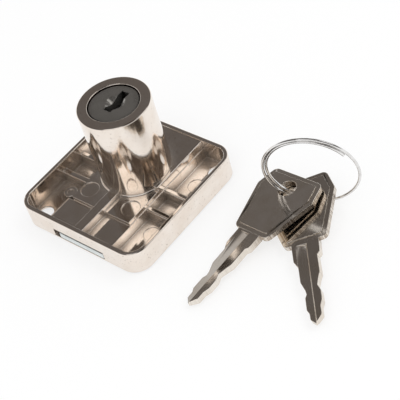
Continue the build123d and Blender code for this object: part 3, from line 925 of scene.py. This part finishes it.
def input_tree(name, sizes):
    """A Geometry Nodes tree with a named input for each size, and the identifiers of those inputs."""
    tree = bpy.data.node_groups.new(name, "GeometryNodeTree")
    tree.interface.new_socket("Geometry", in_out="OUTPUT", socket_type="NodeSocketGeometry")
    identifiers = {}
    for label, value in sizes.items():
        kind = "NodeSocketInt" if isinstance(value, int) else "NodeSocketFloat"
        identifiers[label] = tree.interface.new_socket(label, in_out="INPUT", socket_type=kind).identifier
    return tree, identifiers


def wire_from(tree, curve, radius):
    """Gives a curve a round wire with closed ends."""
    profile = add_node(tree, "GeometryNodeCurvePrimitiveCircle", {
        "Resolution": WIRE_SIDES, "Radius": radius}).outputs["Curve"]
    return add_node(tree, "GeometryNodeCurveToMesh", {
        "Curve": curve, "Profile Curve": profile, "Fill Caps": True}).outputs["Mesh"]


def finish_tree(tree, geometry, material):
    """Ends a tree: instances made real, smooth shading, and the material."""
    real = add_node(tree, "GeometryNodeRealizeInstances", {"Geometry": geometry}).outputs["Geometry"]
    smooth = add_node(tree, "GeometryNodeSetShadeSmooth", {"Geometry": real}).outputs["Geometry"]
    painted = add_node(tree, "GeometryNodeSetMaterial", {
        "Geometry": smooth, "Material": material}).outputs["Geometry"]
    add_node(tree, "NodeGroupOutput", {"Geometry": painted})
    print(tree.name, "nodes", len(tree.nodes))


def grown(name, tree, identifiers, sizes, seed_mesh=None):
    """An object whose mesh the tree grows, turned into a plain mesh."""
    piece = bpy.data.objects.new(name, seed_mesh or bpy.data.meshes.new(name + "_seed"))
    bpy.context.scene.collection.objects.link(piece)
    modifier = piece.modifiers.new("grown", "NODES")
    modifier.node_group = tree
    for label, value in sizes.items():
        modifier[identifiers[label]] = value
    plain_mesh(piece)
    return piece


# %% [markdown]
# Split ring
#
# A split ring is one hard wire wound nearly twice round, with its turns pressed together. In the
# photograph the turns lie one inside the other, and the inner one ends in the open at the top
# right, so that only the outer one goes on to the second key. A curve that follows a formula says
# that best. Each point of the wire has an angle, and the angle alone decides how far in and how
# far to the side the point lies. The wire steps inwards over a short part of the way, behind the
# keys.

# %% The ring's sizes
RING_POINTS = 260
RING_RADIUS = 11.58
RING_WIRE = 0.75
RING_PITCH = 0.76
RING_START, RING_END = -430.0, 145.0
RING_STEP_FROM, RING_STEP_TO = -120.0, -60.0
RING_TIP_FROM = 80.0
RING_TIP_DIP = 0.15
RING_PARTING = 0.09
RING_WAVE = 0.17
RING_WAVE_AT = -40.0

ring_sizes = {
    "Points": RING_POINTS, "Radius": RING_RADIUS * MM, "Wire Radius": RING_WIRE / 2 * MM,
    "Pitch": RING_PITCH * MM, "Start Angle": math.radians(RING_START), "End Angle": math.radians(RING_END),
    "Step From": math.radians(RING_STEP_FROM), "Step To": math.radians(RING_STEP_TO),
    "Tip From": math.radians(RING_TIP_FROM), "Tip Dip": RING_TIP_DIP * MM,
    "Parting": RING_PARTING * MM, "Wave": RING_WAVE * MM, "Wave At": math.radians(RING_WAVE_AT),
}
print("the wire goes round", round((RING_END - RING_START) / 360, 2), "times")

# %% A line of points with their angles
ring_tree, ring_inputs = input_tree("split_ring_wire", ring_sizes)
given = add_node(ring_tree, "NodeGroupInput").outputs
line = add_node(ring_tree, "GeometryNodeMeshLine", {"Count": given["Points"]}).outputs["Mesh"]
index = add_node(ring_tree, "GeometryNodeInputIndex").outputs[0]
last = add_node(ring_tree, "ShaderNodeMath", {0: given["Points"], 1: 1.0}, operation="SUBTRACT").outputs[0]
angle = add_node(ring_tree, "ShaderNodeMapRange", {
    "Value": index, "From Max": last, "To Min": given["Start Angle"],
    "To Max": given["End Angle"]}).outputs[0]
print("degrees from point to point:", round((RING_END - RING_START) / (RING_POINTS - 1), 2))

# %% How far in the wire lies: by one pitch past the step, and a little more towards its tip
inner = add_node(ring_tree, "ShaderNodeMapRange", {
    "Value": angle, "From Min": given["Step From"], "From Max": given["Step To"]},
    interpolation_type="SMOOTHSTEP").outputs[0]
dip = add_node(ring_tree, "ShaderNodeMapRange", {
    "Value": angle, "From Min": given["Tip From"], "From Max": given["End Angle"],
    "To Max": given["Tip Dip"]}).outputs[0]
inwards = add_node(ring_tree, "ShaderNodeMath", {0: inner, 1: given["Pitch"], 2: dip},
                   operation="MULTIPLY_ADD").outputs[0]
radius = add_node(ring_tree, "ShaderNodeMath", {0: given["Radius"], 1: inwards},
                  operation="SUBTRACT").outputs[0]
print("inner turn's radius mm:", round(RING_RADIUS - RING_PITCH, 2))

# %% How far to the side it lies: the outer turn one way, the inner one the other way
from_wave = add_node(ring_tree, "ShaderNodeMath", {0: angle, 1: given["Wave At"]},
                     operation="SUBTRACT").outputs[0]
wave = add_node(ring_tree, "ShaderNodeMath", {0: from_wave}, operation="COSINE").outputs[0]
parting = add_node(ring_tree, "ShaderNodeMath", {0: wave, 1: given["Wave"], 2: given["Parting"]},
                   operation="MULTIPLY_ADD").outputs[0]
way = add_node(ring_tree, "ShaderNodeMath", {0: inner, 1: 2.0, 2: -1.0},
               operation="MULTIPLY_ADD").outputs[0]
side = add_node(ring_tree, "ShaderNodeMath", {0: way, 1: parting}, operation="MULTIPLY").outputs[0]
print("the turns part by up to", round(2 * (RING_PARTING + RING_WAVE), 2), "mm")

# %% Turn each point to its angle, and give the line its wire
spot = add_node(ring_tree, "ShaderNodeCombineXYZ", {0: radius, 2: side}).outputs[0]
spot = add_node(ring_tree, "ShaderNodeVectorRotate", {"Vector": spot, "Angle": angle},
                rotation_type="Z_AXIS").outputs[0]
placed = add_node(ring_tree, "GeometryNodeSetPosition", {
    "Geometry": line, "Position": spot}).outputs["Geometry"]
wire_line = add_node(ring_tree, "GeometryNodeMeshToCurve", {"Mesh": placed}).outputs["Curve"]
wire = wire_from(ring_tree, wire_line, given["Wire Radius"])
finish_tree(ring_tree, wire, finishes["steel_wire"])

# %% [markdown]
# Where the ring stands
#
# The ring stands on its edge, leaning a little, and passes through the holes of both keys. Its
# place and its lean were fitted to the photograph, and then it was moved by a third of a
# millimetre, so that its wire is clear of the keys. Both go into its mesh, because a finished
# piece stays at the origin, unturned.

# %% Wind the ring and stand it in the keys' holes
RING_PLACE = (46.38, 13.97, 6.42)
RING_AZIMUTH = 115.3
RING_LEAN = 5.4

split_ring = grown("split_ring_wound", ring_tree, ring_inputs, ring_sizes)
turn, lean = math.radians(RING_AZIMUTH), math.radians(RING_LEAN)
ring_normal = Vector((math.cos(lean) * math.cos(turn), math.cos(lean) * math.sin(turn), math.sin(lean)))
ring_side = Vector((0, 0, 1)).cross(ring_normal).normalized()
ring_up = ring_normal.cross(ring_side)
stand = Matrix((ring_side, ring_up, ring_normal)).transposed().to_4x4()
split_ring.data.transform(Matrix.Translation(Vector(RING_PLACE) * MM) @ stand)
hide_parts("split_ring")
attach(split_ring, frame["nodes"]["split_ring"]["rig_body"])
print("split ring faces:", len(split_ring.data.polygons))

# %% [markdown]
# Coil springs
#
# Under the ear of each wafer sits a coil spring as thin as a pencil lead. The solids only give
# the space that each one fills. One coil is grown from a spiral curve and set on nine points, one
# in the middle of each space, because the nine springs are all alike.

# %% Measure the springs' places
SPRING_WIRE = 0.24
SPRING_TURNS = 8.0

spring_nodes = sorted(name for name in frame["nodes"] if "spring" in name)
spring_low, spring_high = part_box(spring_nodes[0])
spring_across = spring_high.x - spring_low.x
spring_length = spring_high.y - spring_low.y
spring_sizes = {
    "Coil Radius": (spring_across - SPRING_WIRE * MM) / 2, "Coil Height": spring_length - SPRING_WIRE * MM,
    "Wire Radius": SPRING_WIRE / 2 * MM, "Turns": SPRING_TURNS,
}
print("a spring is", round(spring_across / MM, 2), "mm across and", round(spring_length / MM, 2), "mm long")

# %% A Geometry Nodes tree that sets a coil on each point, lying along y
TURN_POINTS = 20

spring_tree, spring_inputs = input_tree("coil_springs", spring_sizes)
points_in = spring_tree.interface.new_socket("Points", in_out="INPUT", socket_type="NodeSocketGeometry")
spring_tree.interface.move(points_in, 0)
given = add_node(spring_tree, "NodeGroupInput").outputs
spiral = add_node(spring_tree, "GeometryNodeCurveSpiral", {
    "Resolution": TURN_POINTS, "Rotations": given["Turns"], "Start Radius": given["Coil Radius"],
    "End Radius": given["Coil Radius"], "Height": given["Coil Height"]}).outputs["Curve"]
coil = wire_from(spring_tree, spiral, given["Wire Radius"])
half_down = add_node(spring_tree, "ShaderNodeMath", {0: given["Coil Height"], 1: -0.5},
                     operation="MULTIPLY").outputs[0]
centring = add_node(spring_tree, "ShaderNodeCombineXYZ", {2: half_down}).outputs[0]
coil = add_node(spring_tree, "GeometryNodeTransform", {
    "Geometry": coil, "Translation": centring}).outputs["Geometry"]
springs = add_node(spring_tree, "GeometryNodeInstanceOnPoints", {
    "Points": given["Points"], "Instance": coil, "Rotation": (math.pi / 2, 0, 0)}).outputs["Instances"]
finish_tree(spring_tree, springs, finishes["spring_steel"])

# %% Set the springs in the plug
seats = bpy.data.meshes.new("spring_seats")
seats.from_pydata([(low + high) / 2 for low, high in map(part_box, spring_nodes)], [], [])
springs = grown("wafer_springs_wound", spring_tree, spring_inputs, spring_sizes, seats)
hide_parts(*spring_nodes)
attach(springs, frame["nodes"]["plug"]["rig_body"])
print("springs:", len(spring_nodes), "faces:", len(springs.data.polygons))
